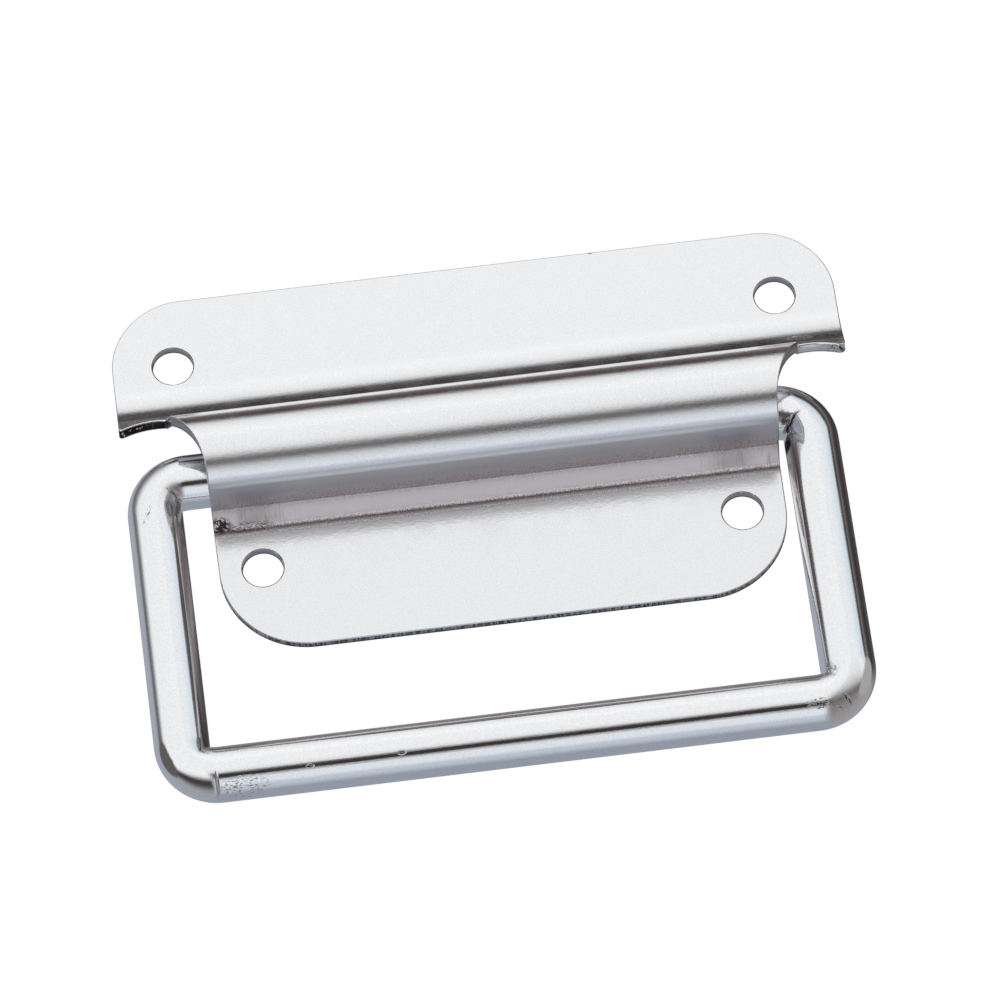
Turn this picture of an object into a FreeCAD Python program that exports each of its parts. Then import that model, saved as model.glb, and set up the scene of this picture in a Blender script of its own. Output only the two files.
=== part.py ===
import FreeCAD, Part
import os

import Sketcher

# A chest drop handle: a stamped steel plate whose hump carries a bail bent from round rod.
# Millimetres, +Z up, as the handle hangs on a wall. The wall is the plane Y = 0 and the viewer stands at -Y.
# The origin is on the wall, midway between the two upper screws.

SIZES = {
    "sheet_thickness": (1.5, "steel sheet of the plate"),
    "top_margin": (10.5, "top edge above the upper screws"),
    "screw_row_spacing": (33.7, "lower screws below the upper screws"),
    "bottom_margin": (12.6, "bottom edge below the lower screws"),
    "upper_screw_inset": (8.7, "upper screws in from the plate's sides"),
    "lower_screw_inset": (6.3, "lower screws in from the lower flange's sides"),
    "screw_hole_diameter": (5.8, "clearance for a 5 mm screw"),
    "top_corner_radius": (10.6, "outline of the upper corners"),
    "bottom_corner_radius": (12.5, "outline of the lower corners"),
    "rod_diameter": (7.8, "round rod of the bail, 8 mm stock"),
    "rod_drop": (20.15, "axis of the bail below the upper screws"),
    "rod_wall_gap": (0.05, "between the rod and the wall"),
    "rod_shelf_gap": (0.2, "between the rod and the hump's underside"),
    "hump_headroom": (5.3, "depth of the channel beyond the rod"),
    "root_drop": (3.05, "start of the upper flange's bend below the upper screws"),
    "root_radius": (9.2, "front of that bend"),
    "brim_angle": (30.2, "slope of the brim above the hump and of the ears, degrees"),
    "brim_length": (1.4, "straight part of the brim above the hump"),
    "cove_radius": (2.0, "front of the hollow between brim and hump"),
    "wall_angle": (64.3, "slope of the hump's upper wall, degrees"),
    "brow_radius": (8.0, "front of the hump's upper rounding"),
    "crown_radius": (6.5, "front of the hump's middle"),
    "crown_lift": (0.8, "middle of the crown above the axis of the bail"),
    "chin_radius": (3.8, "front of the hump's lower rounding"),
    "shelf_angle": (84.0, "slope of the hump's underside, degrees"),
    "crease_height": (5.1, "crease of the underside in front of the wall"),
    "heel_angle": (65.0, "slope of the short step below the crease, degrees"),
    "toe_radius": (1.4, "front of the bend between step and lower flange"),
    "throat_width": (80.8, "width of the hump where its flare starts"),
    "shoulder_flare": (4.2, "each side of the hump's top outside the throat"),
    "ear_width": (7.5, "each ear outside the hump's top"),
    "flare_radius": (17.4, "hollow of the hump's sides"),
    "flare_drop": (4.2, "start of the flare below the axis of the bail"),
    "side_taper": (0.5, "inward slope of the sides below the flare, degrees"),
    "ear_flap": (5.5, "straight end of an ear, before it is cut"),
    "notch_drop": (2.4, "top of the hollow in an ear's edge below its bend"),
    "notch_radius": (8.5, "hollow in the edge of an ear"),
    "notch_inset": (2.2, "top of that hollow outside the hump"),
    "notch_corner_radius": (1.0, "corner between ear and hump"),
    "notch_slope": (28.0, "slope of an ear's edge at its tip, degrees"),
    "finger_gap": (15.8, "between the plate's bottom edge and the grip bar"),
    "bail_bend_radius": (5.0, "axis of the rod in the four bends"),
    "bail_side_play": (2.4, "between leg and throat with the bail in the middle"),
    "bail_right_gap": (0.8, "between leg and throat on the right, where the bail lies"),
    "rod_end_gap": (0.5, "seam between the two rod ends"),
    "cutter_margin": (2.0, "how far a cutting shape reaches past the sheet"),
}

HUMP_HEIGHT = "(sizes.rod_diameter + sizes.hump_headroom + sizes.sheet_thickness)"
ROD_DEPTH = "(sizes.rod_diameter / 2 + sizes.rod_wall_gap)"
BOTTOM_EDGE = "-(sizes.screw_row_spacing + sizes.bottom_margin)"
HALF_SHOULDER = "(sizes.throat_width / 2 + sizes.shoulder_flare)"
HALF_PLATE = f"({HALF_SHOULDER} + sizes.ear_width)"
HALF_BAIL = "((sizes.throat_width + sizes.rod_diameter) / 2 + sizes.bail_side_play)"
BAIL_SHIFT = "(sizes.bail_right_gap - sizes.bail_side_play)"
GRIP_LEVEL = f"({BOTTOM_EDGE} + sizes.rod_drop - sizes.finger_gap - sizes.rod_diameter / 2)"

START, END, CENTRE = 1, 2, 3
ORIGIN = -1  # geometry index that stands for the sketch's own origin


def add_sizes(doc):
    sheet = doc.addObject("Spreadsheet::Sheet", "sizes")
    for row, (alias, (value, note)) in enumerate(SIZES.items(), start=1):
        sheet.set(f"A{row}", alias)
        sheet.set(f"B{row}", str(value))
        sheet.set(f"C{row}", note)
        sheet.setAlias(f"B{row}", alias)
    doc.recompute()


class Outline:
    """A sketch drawn near its final form, whose dimensions then follow the sheet."""

    def __init__(self, sketch):
        self.sketch = sketch

    def line(self, start, end):
        return self.sketch.addGeometry(Part.LineSegment(FreeCAD.Vector(*start), FreeCAD.Vector(*end)))

    def lines(self, *corners):
        """A run of lines, each joined to the one before."""
        run = [self.line(start, end) for start, end in zip(corners, corners[1:])]
        for before, after in zip(run, run[1:]):
            self.join(before, END, after, START)
        return run

    def arc(self, start, middle, end):
        """An arc through three points. Its START is the end that comes first counter-clockwise."""
        points = [FreeCAD.Vector(*point) for point in (start, middle, end)]
        return self.sketch.addGeometry(Part.Arc(*points))

    def circle(self, centre, radius):
        return self.sketch.addGeometry(Part.Circle(FreeCAD.Vector(*centre), FreeCAD.Vector(0, 0, 1), radius))

    def point(self, place):
        return self.sketch.addGeometry(Part.Point(FreeCAD.Vector(*place)), True)

    def relate(self, kind, *where):
        return self.sketch.addConstraint(Sketcher.Constraint(kind, *where))

    def join(self, first, first_end, second, second_end):
        self.relate("Coincident", first, first_end, second, second_end)

    def smooth(self, first, first_end, second, second_end):
        self.relate("Tangent", first, first_end, second, second_end)

    def level(self, *lines):
        for line in lines:
            self.relate("Horizontal", line)

    def upright(self, *lines):
        for line in lines:
            self.relate("Vertical", line)

    def bind(self, name, formula, kind, *where):
        """A dimension that follows a formula on the sheet. The value in it is only its start."""
        index = self.relate(kind, *where)
        self.sketch.renameConstraint(index, name)
        self.sketch.setExpression(f"Constraints.{name}", formula)

    def radius(self, name, formula, curve, start):
        self.bind(name, formula, "Radius", curve, start)

    def slope(self, name, formula, line, start):
        """The angle of a line from the sketch's x axis, counter-clockwise."""
        self.bind(name, f"({formula}) * 1 deg", "Angle", line, start)

    def across(self, name, formula, piece, end, start):
        self.bind(name, formula, "DistanceX", ORIGIN, START, piece, end, start)

    def up(self, name, formula, piece, end, start):
        self.bind(name, formula, "DistanceY", ORIGIN, START, piece, end, start)


def section_sketch(doc, name):
    """Sketch x points out of the wall and sketch y points up."""
    sketch = doc.addObject("Sketcher::SketchObject", name)
    axes = FreeCAD.Vector(0, -1, 0), FreeCAD.Vector(0, 0, 1), FreeCAD.Vector(-1, 0, 0)
    sketch.Placement.Rotation = FreeCAD.Rotation(*axes, "ZXY")
    return Outline(sketch)


def front_sketch(doc, name):
    """Sketch x points right and sketch y points up."""
    sketch = doc.addObject("Sketcher::SketchObject", name)
    sketch.Placement.Rotation = FreeCAD.Rotation(FreeCAD.Vector(1, 0, 0), 90)
    return Outline(sketch)


def draw_hump_section(doc):
    """Front face of the sheet over the hump, from the bottom edge to the top edge."""
    o = section_sketch(doc, "hump_section")
    foot = o.line((1.5, -46.3), (1.5, -28.08))
    toe = o.arc((1.5, -28.08), (1.71, -27.34), (2.31, -26.81))
    step = o.line((2.31, -26.81), (5.1, -25.66))
    shelf = o.line((5.1, -25.66), (10.51, -24.98))
    chin = o.arc((10.51, -24.98), (12.0, -24.42), (12.9, -23.77))
    crown = o.arc((12.9, -23.77), (14.6, -19.35), (14.35, -17.58))
    brow = o.arc((14.35, -17.58), (12.64, -14.53), (10.13, -12.56))
    wall = o.line((10.13, -12.56), (4.35, -9.78))
    cove = o.arc((4.35, -9.78), (3.87, -9.44), (3.46, -8.89))
    brim = o.line((3.46, -8.89), (2.75, -7.68))
    root = o.arc((2.75, -7.68), (1.82, -5.43), (1.5, -3.05))
    flange = o.line((1.5, -3.05), (1.5, 10.5))
    rod = o.point((3.95, -20.15))

    o.smooth(foot, END, toe, END)
    o.smooth(toe, START, step, START)
    o.join(step, END, shelf, START)
    o.smooth(shelf, END, chin, START)
    o.smooth(chin, END, crown, START)
    o.smooth(crown, END, brow, START)
    o.smooth(brow, END, wall, START)
    o.smooth(wall, END, cove, END)
    o.smooth(cove, START, brim, START)
    o.smooth(brim, END, root, END)
    o.smooth(root, START, flange, START)
    o.upright(foot, flange)

    o.up("bottom_edge", BOTTOM_EDGE, foot, START, -46.3)
    o.across("foot_face", "sizes.sheet_thickness", foot, START, 1.5)
    o.radius("toe_bend", "sizes.toe_radius", toe, 1.4)
    o.slope("step_slope", "90 - sizes.heel_angle", step, 0.44)
    o.across("crease", "sizes.crease_height", step, END, 5.1)
    o.slope("shelf_slope", "90 - sizes.shelf_angle", shelf, 0.105)
    o.radius("chin_bend", "sizes.chin_radius", chin, 3.8)
    o.radius("crown_bend", "sizes.crown_radius", crown, 6.5)
    o.across("crown_depth", f"{HUMP_HEIGHT} - sizes.crown_radius", crown, CENTRE, 8.1)
    o.up("crown_level", "sizes.crown_lift - sizes.rod_drop", crown, CENTRE, -19.35)
    o.radius("brow_bend", "sizes.brow_radius", brow, 8.0)
    o.slope("wall_slope", "90 + sizes.wall_angle", wall, 2.693)
    o.radius("cove_bend", "sizes.cove_radius", cove, 2.0)
    o.slope("brim_slope", "90 + sizes.brim_angle", brim, 2.098)
    o.bind("brim", "sizes.brim_length", "Distance", brim, 1.4)
    o.radius("root_bend", "sizes.root_radius", root, 9.2)
    o.across("flange_face", "sizes.sheet_thickness", flange, END, 1.5)
    o.up("root_level", "-sizes.root_drop", flange, START, -3.05)
    o.up("top_edge", "sizes.top_margin", flange, END, 10.5)

    o.across("rod_depth", ROD_DEPTH, rod, START, 3.95)
    o.up("rod_level", "-sizes.rod_drop", rod, START, -20.15)
    seat = "sizes.rod_diameter / 2 + sizes.rod_shelf_gap + sizes.sheet_thickness"
    o.bind("shelf_seat", seat, "Distance", rod, START, shelf, 5.6)
    doc.recompute()
    return o.sketch


def draw_ear_section(doc):
    """Front face of the sheet over an ear, from its tip to the top edge."""
    o = section_sketch(doc, "ear_section")
    flap = o.line((5.52, -12.43), (2.75, -7.68))
    root = o.arc((2.75, -7.68), (1.82, -5.43), (1.5, -3.05))
    flange = o.line((1.5, -3.05), (1.5, 10.5))
    o.smooth(flap, END, root, END)
    o.smooth(root, START, flange, START)
    o.upright(flange)
    o.bind("flap", "sizes.ear_flap", "Distance", flap, 5.5)
    o.slope("curl", "90 + sizes.brim_angle", flap, 2.098)
    o.radius("root_bend", "sizes.root_radius", root, 9.2)
    o.across("flange_face", "sizes.sheet_thickness", flange, END, 1.5)
    o.up("top_edge", "sizes.top_margin", flange, END, 10.5)
    o.up("root_level", "-sizes.root_drop", flange, START, -3.05)
    doc.recompute()
    return o.sketch


def fold_sheet(doc, name, section):
    """The sheet's cross-section: its front face, thickened towards the wall."""
    face = doc.addObject("Part::Offset2D", name)
    face.Source = section
    face.Mode = "Skin"
    face.Join = "Intersection"
    face.Fill = True
    face.setExpression("Value", "sizes.sheet_thickness")
    doc.recompute()
    return face


def extrude(doc, name, profile, direction, length, symmetric=False):
    solid = doc.addObject("Part::Extrusion", name)
    solid.Base = profile
    solid.DirMode = "Custom"
    solid.Dir = direction
    solid.Solid = True
    solid.Symmetric = symmetric
    solid.setExpression("LengthFwd", length)
    doc.recompute()
    return solid


def mirror(doc, name, solid):
    other = doc.addObject("Part::Mirroring", name)
    other.Source = solid
    other.Normal = FreeCAD.Vector(1, 0, 0)
    doc.recompute()
    return other


def fuse(doc, name, shapes):
    solid = doc.addObject("Part::MultiFuse", name)
    solid.Shapes = shapes
    solid.Refine = True
    doc.recompute()
    return solid


def cut(doc, name, base, tool):
    solid = doc.addObject("Part::Cut", name)
    solid.Base = base
    solid.Tool = tool
    solid.Refine = True
    doc.recompute()
    return solid


def add_notch_cutter(doc):
    """What is cut from the right ear, drawn on the ear's curled face.

    Sketch y runs up along the sheet and starts where the curl ends.
    """
    sketch = doc.addObject("Sketcher::SketchObject", "notch_outline")
    sketch.Placement.Rotation = FreeCAD.Rotation(FreeCAD.Vector(1, 0, 0), 59.8)
    sketch.setExpression("Placement.Rotation.Angle", "(90 - sizes.brim_angle) * 1 deg")
    curl_rise = "sizes.root_radius * sin(sizes.brim_angle * 1 deg)"
    curl_reach = "sizes.root_radius * (1 - cos(sizes.brim_angle * 1 deg))"
    sketch.setExpression("Placement.Base.y", f"-(sizes.sheet_thickness + {curl_reach})")
    sketch.setExpression("Placement.Base.z", f"-(sizes.root_drop + {curl_rise})")

    o = Outline(sketch)
    side = o.line((44.6, -34.0), (44.6, -3.5))
    corner = o.arc((44.6, -3.5), (44.85, -2.81), (45.44, -2.51))
    hollow = o.arc((45.44, -2.51), (48.8, -2.64), (50.79, -3.39))
    tip, outside, under = o.lines((50.79, -3.39), (69.1, -13.1), (69.1, -34.0), (44.6, -34.0))
    o.smooth(side, END, corner, END)
    o.smooth(corner, START, hollow, END)
    o.smooth(hollow, START, tip, START)
    o.join(under, END, side, START)
    o.upright(side, outside)
    o.level(under)
    o.across("hump_side", HALF_SHOULDER, side, START, 44.6)
    o.radius("corner_bend", "sizes.notch_corner_radius", corner, 1.0)
    o.radius("hollow_bend", "sizes.notch_radius", hollow, 8.5)
    o.across("hollow_middle", f"{HALF_SHOULDER} + sizes.notch_inset", hollow, CENTRE, 46.8)
    o.up("hollow_top", "-(sizes.notch_drop + sizes.notch_radius)", hollow, CENTRE, -10.9)
    o.slope("tip_slope", "-sizes.notch_slope", tip, -0.489)
    o.across("reach", f"{HALF_PLATE} + 2 * sizes.notch_radius", outside, END, 69.1)
    o.up("depth", "-4 * sizes.notch_radius", under, END, -34.0)
    doc.recompute()

    across_sheet = FreeCAD.Vector(sketch.Placement.Rotation.multVec(FreeCAD.Vector(0, 0, 1)))
    return extrude(doc, "notch_cutter", sketch, across_sheet, "4 * sizes.notch_radius", symmetric=True)


def add_side_cutter(doc):
    """What is trimmed from the right of the hump and the lower flange."""
    o = front_sketch(doc, "side_outline")
    base, corner_start = (20.2, -46.3), (27.7, -46.3)
    bottom = o.line(base, corner_start)
    corner = o.arc(corner_start, (36.5, -42.6), (40.2, -33.8))
    side = o.line((40.3, -33.8), (40.4, -24.35))
    flare = o.arc((40.4, -24.35), (41.5, -18.4), (44.6, -13.17))
    ledge, outside, under, inside = o.lines(
        (44.6, -13.17), (46.6, -13.17), (46.6, -48.3), (20.2, -48.3), base
    )
    o.smooth(bottom, END, corner, START)
    o.smooth(corner, END, side, START)
    o.smooth(side, END, flare, END)
    o.join(flare, START, ledge, START)
    o.join(inside, END, bottom, START)
    o.level(bottom, ledge, under)
    o.upright(outside, inside)
    o.up("bottom_edge", BOTTOM_EDGE, bottom, START, -46.3)
    o.across("start", "sizes.throat_width / 4", bottom, START, 20.2)
    o.radius("corner_bend", "sizes.bottom_corner_radius", corner, 11.5)
    o.slope("taper", "90 - sizes.side_taper", side, 1.536)
    o.across("throat", "sizes.throat_width / 2", side, END, 40.5)
    o.up("flare_start", "-(sizes.rod_drop + sizes.flare_drop)", side, END, -24.35)
    o.radius("flare_bend", "sizes.flare_radius", flare, 17.4)
    o.across("shoulder", HALF_SHOULDER, flare, START, 44.6)
    o.across("reach", f"{HALF_SHOULDER} + sizes.cutter_margin", outside, START, 46.6)
    o.up("depth", f"{BOTTOM_EDGE} - sizes.cutter_margin", outside, END, -48.3)
    doc.recompute()
    return extrude(doc, "side_cutter", o.sketch, FreeCAD.Vector(0, -1, 0), f"4 * {HUMP_HEIGHT}", symmetric=True)


def add_corner_cutter(doc):
    """What rounds the upper right corner."""
    o = front_sketch(doc, "corner_outline")
    corner = o.arc((52.1, -0.1), (49.0, 7.4), (41.5, 10.5))
    top, outside, ledge = o.lines((41.5, 10.5), (54.1, 12.5), (54.1, -0.1), (52.1, -0.1))
    o.join(corner, END, top, START)
    o.join(ledge, END, corner, START)
    o.level(ledge)
    o.upright(outside)
    o.radius("corner_bend", "sizes.top_corner_radius", corner, 10.6)
    o.across("corner_middle", f"{HALF_PLATE} - sizes.top_corner_radius", corner, CENTRE, 41.5)
    o.up("corner_level", "sizes.top_margin - sizes.top_corner_radius", corner, CENTRE, -0.1)
    o.across("corner_top", f"{HALF_PLATE} - sizes.top_corner_radius", corner, END, 41.5)
    o.up("corner_side", "sizes.top_margin - sizes.top_corner_radius", corner, START, -0.1)
    o.across("reach", f"{HALF_PLATE} + sizes.cutter_margin", outside, START, 54.1)
    o.up("height", "sizes.top_margin + sizes.cutter_margin", outside, START, 12.5)
    doc.recompute()
    return extrude(doc, "corner_cutter", o.sketch, FreeCAD.Vector(0, -1, 0), f"4 * {HUMP_HEIGHT}", symmetric=True)


def add_screw_holes(doc):
    """Four pierced holes, two above the hump and two below it."""
    o = front_sketch(doc, "screw_holes")
    rows = {
        "upper": (f"({HALF_PLATE} - sizes.upper_screw_inset)", "0", (43.4, 0.0)),
        "lower": ("(sizes.throat_width / 2 - sizes.lower_screw_inset)", "-sizes.screw_row_spacing", (34.1, -33.7)),
    }
    for row, (half_spacing, level, (across, up)) in rows.items():
        for side, sign in (("right", 1), ("left", -1)):
            hole = o.circle((sign * across, up), 2.9)
            o.radius(f"{row}_{side}_bore", "sizes.screw_hole_diameter / 2", hole, 2.9)
            o.across(f"{row}_{side}_across", f"{sign} * {half_spacing}", hole, CENTRE, sign * across)
            o.up(f"{row}_{side}_up", level, hole, CENTRE, up)
    doc.recompute()
    return extrude(doc, "screw_punches", o.sketch, FreeCAD.Vector(0, -1, 0), f"4 * {HUMP_HEIGHT}", symmetric=True)


def add_plate(doc):
    """One piece of sheet: two flanges, the hump between them and an ear at each end of the upper flange."""
    along = FreeCAD.Vector(1, 0, 0)
    hump_face = fold_sheet(doc, "hump_face", draw_hump_section(doc))
    hump = extrude(doc, "hump_strip", hump_face, along, f"2 * {HALF_SHOULDER}", symmetric=True)

    ear_face = fold_sheet(doc, "ear_face", draw_ear_section(doc))
    strip = extrude(doc, "ear_strip", ear_face, along, "sizes.ear_width")
    strip.setExpression("Placement.Base.x", HALF_SHOULDER)
    ear = cut(doc, "right_ear", strip, add_notch_cutter(doc))
    blank = fuse(doc, "folded_blank", [hump, ear, mirror(doc, "left_ear", ear)])

    side = add_side_cutter(doc)
    corner = add_corner_cutter(doc)
    cutters = [side, mirror(doc, "left_side_cutter", side), corner, mirror(doc, "left_corner_cutter", corner)]
    trimmings = fuse(doc, "trimmings", [*cutters, add_screw_holes(doc)])
    return cut(doc, "mounting_plate", blank, trimmings)


def origin_plane(body, role):
    return next(plane for plane in body.Origin.OriginFeatures if plane.Role == role)


def body_sketch(body, name, role):
    sketch = body.newObject("Sketcher::SketchObject", name)
    sketch.AttachmentSupport = (origin_plane(body, role), "")
    sketch.MapMode = "FlatFace"
    return Outline(sketch)


def draw_bail_path(body):
    """Axis of the rod, from one end of the rod to the other around a rectangle with rounded corners."""
    o = body_sketch(body, "bail_path", "XZ_Plane")
    right, left, low, bend = 46.7, -46.7, -45.7, 5.0
    seam = 0.25
    nook = bend * (1 - 0.5 ** 0.5)
    right_top = o.line((seam, 0), (right - bend, 0))
    upper_right = o.arc((right - bend, 0), (right - nook, -nook), (right, -bend))
    right_leg = o.line((right, -bend), (right, low + bend))
    lower_right = o.arc((right, low + bend), (right - nook, low + nook), (right - bend, low))
    grip = o.line((right - bend, low), (left + bend, low))
    lower_left = o.arc((left + bend, low), (left + nook, low + nook), (left, low + bend))
    left_leg = o.line((left, low + bend), (left, -bend))
    upper_left = o.arc((left, -bend), (left + nook, -nook), (left + bend, 0))
    left_top = o.line((left + bend, 0), (-seam, 0))

    # Every bend turns clockwise along the path, so the path meets it at its END first
    run = [right_top, upper_right, right_leg, lower_right, grip, lower_left, left_leg, upper_left, left_top]
    for line, arc, after in zip(run[0::2], run[1::2], run[2::2]):
        o.smooth(line, END, arc, END)
        o.smooth(arc, START, after, START)
        o.radius(f"bend_{arc}", "sizes.bail_bend_radius", arc, bend)
    o.level(right_top, grip, left_top)
    o.upright(right_leg, left_leg)
    o.across("right_end", "sizes.rod_end_gap / 2", right_top, START, seam)
    o.across("left_end", "-sizes.rod_end_gap / 2", left_top, END, -seam)
    o.up("right_level", "0", right_top, START, 0.0)
    o.up("left_level", "0", left_top, END, 0.0)
    o.across("right_side", HALF_BAIL, right_leg, START, right)
    o.across("left_side", f"-{HALF_BAIL}", left_leg, START, left)
    o.up("grip_level", GRIP_LEVEL, grip, START, low)
    return o.sketch


def draw_rod_section(body):
    """Cross-section of the rod at its first end."""
    o = body_sketch(body, "rod_section", "YZ_Plane")
    rod = o.circle((0, 0), 3.9)
    o.radius("rod", "sizes.rod_diameter / 2", rod, 3.9)
    o.join(rod, CENTRE, ORIGIN, START)
    o.sketch.setExpression("AttachmentOffset.Base.z", "sizes.rod_end_gap / 2")
    return o.sketch


def add_bail(doc):
    """The handle itself: one rod, bent round until its ends meet inside the hump."""
    body = doc.addObject("PartDesign::Body", "handle_bail")
    path = draw_bail_path(body)
    section = draw_rod_section(body)
    doc.recompute()
    sweep = body.newObject("PartDesign::AdditivePipe", "bent_rod")
    sweep.Profile = section
    sweep.Spine = (path, [])
    sweep.Mode = "Standard"
    body.setExpression("Placement.Base.x", BAIL_SHIFT)
    body.setExpression("Placement.Base.y", f"-{ROD_DEPTH}")
    body.setExpression("Placement.Base.z", "-sizes.rod_drop")
    doc.recompute()
    return body


def check_document(doc):
    for piece in doc.Objects:
        if "Invalid" in piece.State or "Error" in piece.State:
            raise RuntimeError(f"{piece.Name} did not build: {piece.State}")


def check_piece(piece):
    shape = piece.Shape
    if shape.isNull() or not shape.isValid() or len(shape.Solids) != 1:
        raise RuntimeError(f"{piece.Label} is not one valid solid")
    box = shape.BoundBox
    print(
        f"{piece.Label}: volume {shape.Volume:.1f} mm3,"
        f" x {box.XMin:.2f} to {box.XMax:.2f}, y {box.YMin:.2f} to {box.YMax:.2f},"
        f" z {box.ZMin:.2f} to {box.ZMax:.2f}"
    )


doc = FreeCAD.newDocument("drop_handle")
add_sizes(doc)
pieces = [add_plate(doc), add_bail(doc)]
doc.recompute()
check_document(doc)
os.makedirs("parts", exist_ok=True)
for piece in pieces:
    check_piece(piece)
    piece.Shape.exportStep(f"parts/{piece.Label}.step")
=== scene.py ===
import bpy
import bmesh
import math
from mathutils import Matrix, Vector


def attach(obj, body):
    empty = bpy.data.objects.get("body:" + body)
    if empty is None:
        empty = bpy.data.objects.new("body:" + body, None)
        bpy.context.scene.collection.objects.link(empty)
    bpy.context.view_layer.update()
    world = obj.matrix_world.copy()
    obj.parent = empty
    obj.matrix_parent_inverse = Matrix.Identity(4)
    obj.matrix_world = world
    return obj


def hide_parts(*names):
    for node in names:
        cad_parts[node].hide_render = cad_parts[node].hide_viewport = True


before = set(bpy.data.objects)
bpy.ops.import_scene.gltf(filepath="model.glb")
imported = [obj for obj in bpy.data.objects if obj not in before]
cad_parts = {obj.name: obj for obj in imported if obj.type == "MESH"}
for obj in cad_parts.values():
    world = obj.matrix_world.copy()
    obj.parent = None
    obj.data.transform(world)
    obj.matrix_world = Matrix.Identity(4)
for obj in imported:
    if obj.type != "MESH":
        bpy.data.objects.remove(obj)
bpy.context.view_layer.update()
print("frame loaded")

mm = 0.001

plateSizes = {
    "thickness": 1.5,
    "halfWidth": 52.1, "top": 10.5, "topCorner": 10.6,
    "shoulder": 44.6, "shoulderLow": -13.16, "flareCentre": (57.8, -24.5), "flareSweep": 40.15,
    "bottom": -46.3, "bottomCorner": 12.5, "taper": 0.5,
    "brimAngle": 30.2, "notchDrop": 2.4, "notchHollow": 8.5, "notchInset": 2.2, "notchCorner": 1.0, "tipSlope": 28.0,
    "tipRadius": {1: 0.8, -1: 0.45},  # right and left ear
    "earBlend": (-9.9, 0.9),  # level at the shoulder where the hump's wall twists into the ear, and over how much
    "holes": ((43.4, 0.0), (34.1, -33.7)), "holeRadius": 2.9,
    "edgeRound": 0.17,
}

bailSizes = {
    "rodRadius": 3.9, "bend": 5.0,
    "centre": -1.6, "depth": -3.95, "top": -20.15, "grip": -66.0, "halfWidth": 46.7,
    "seam": 0.5, "endRound": 0.35,
    "pinch": 1.0,  # how far the inner corners are pressed square
    "ring": 72, "step": 1.5, "bendSteps": 24,
}

cameraSizes = {
    "place": (-0.04077, -0.93506, -0.50147),
    "target": (0.000227, -0.004, -0.028746),
    "roll": -7.933,  # degrees about the line of sight
    "lens": 266.58,
    "sensor": 36.0,
    "clip": (0.05, 60),
}


# Nodes

def addNode(tree, kind, **settings):
    node = tree.nodes.new(kind)
    for name, value in settings.items():
        if hasattr(node, name):
            setattr(node, name, value)
        else:
            node.inputs[name.replace("_", " ")].default_value = value
    return node


def addRamp(tree, source, stops):
    ramp = addNode(tree, "ShaderNodeValToRGB")
    points = ramp.color_ramp.elements
    while len(points) < len(stops):
        points.new(0.5)
    for point, (place, shade) in zip(points, stops):
        point.position = place
        point.color = (*shade, 1) if isinstance(shade, tuple) else (shade, shade, shade, 1)
    tree.links.new(source, ramp.inputs["Fac"])
    return ramp.outputs["Color"]


def addMath(tree, operation, first, second):
    node = addNode(tree, "ShaderNodeMath", operation=operation)
    for socket, value in zip(node.inputs, (first, second)):
        if isinstance(value, (int, float)):
            socket.default_value = value
        else:
            tree.links.new(value, socket)
    return node.outputs[0]


def addSpan(tree, source, low, high):
    span = addNode(tree, "ShaderNodeMapRange", interpolation_type="SMOOTHSTEP", From_Min=low, From_Max=high)
    tree.links.new(source, span.inputs["Value"])
    return span.outputs[0]


def addMix(tree, share, first, second, blend="MIX"):
    mix = addNode(tree, "ShaderNodeMix", data_type="RGBA", blend_type=blend)
    for socket, value in ((mix.inputs[0], share), (mix.inputs[6], first), (mix.inputs[7], second)):
        if isinstance(value, (int, float)):
            socket.default_value = value
        elif isinstance(value, tuple):
            socket.default_value = (*value, 1)
        else:
            tree.links.new(value, socket)
    return mix.outputs[2]


def addNoise(tree, place, scale, detail=3, stretch=None):
    texture = addNode(tree, "ShaderNodeTexNoise", Scale=scale, Detail=detail, Roughness=0.6)
    if stretch:
        grip = addNode(tree, "ShaderNodeMapping", Scale=stretch)
        tree.links.new(place, grip.inputs["Vector"])
        place = grip.outputs[0]
    tree.links.new(place, texture.inputs["Vector"])
    return texture.outputs["Fac"]


# A ramp whose stops are given in mm
def addScale(tree, source, stops):
    first, last = stops[0][0], stops[-1][0]
    reach = addNode(tree, "ShaderNodeMapRange", From_Min=first * mm, From_Max=last * mm)
    tree.links.new(source, reach.inputs["Value"])
    return addRamp(tree, reach.outputs[0], [((value - first) / (last - first), shade) for value, shade in stops])


# Full inside a band and none outside, with soft borders
def addBand(tree, source, band):
    share = None
    for none, full in bands[band]:
        border = addSpan(tree, source, none * mm, full * mm)
        share = addMath(tree, "MULTIPLY", share, border) if share else border
    return share


# A ragged patch: noise inside a soft ellipsoid
def addMark(tree, place, at, reach, turn, grain, level):
    x, out, z = at
    spot = addNode(tree, "ShaderNodeMapping", vector_type="TEXTURE", Location=(x * mm, -out * mm, z * mm))
    spot.inputs["Rotation"].default_value = (0, math.radians(turn), 0)
    spot.inputs["Scale"].default_value = tuple(size * mm for size in reach)
    tree.links.new(place, spot.inputs["Vector"])
    length = addNode(tree, "ShaderNodeVectorMath", operation="LENGTH")
    tree.links.new(spot.outputs[0], length.inputs[0])
    inside = addSpan(tree, length.outputs["Value"], 1.0, 0.45)
    rough = addNoise(tree, spot.outputs[0], grain, 4)
    return addMath(tree, "MULTIPLY", inside, addSpan(tree, rough, level, level + 0.07))


# Materials

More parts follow.
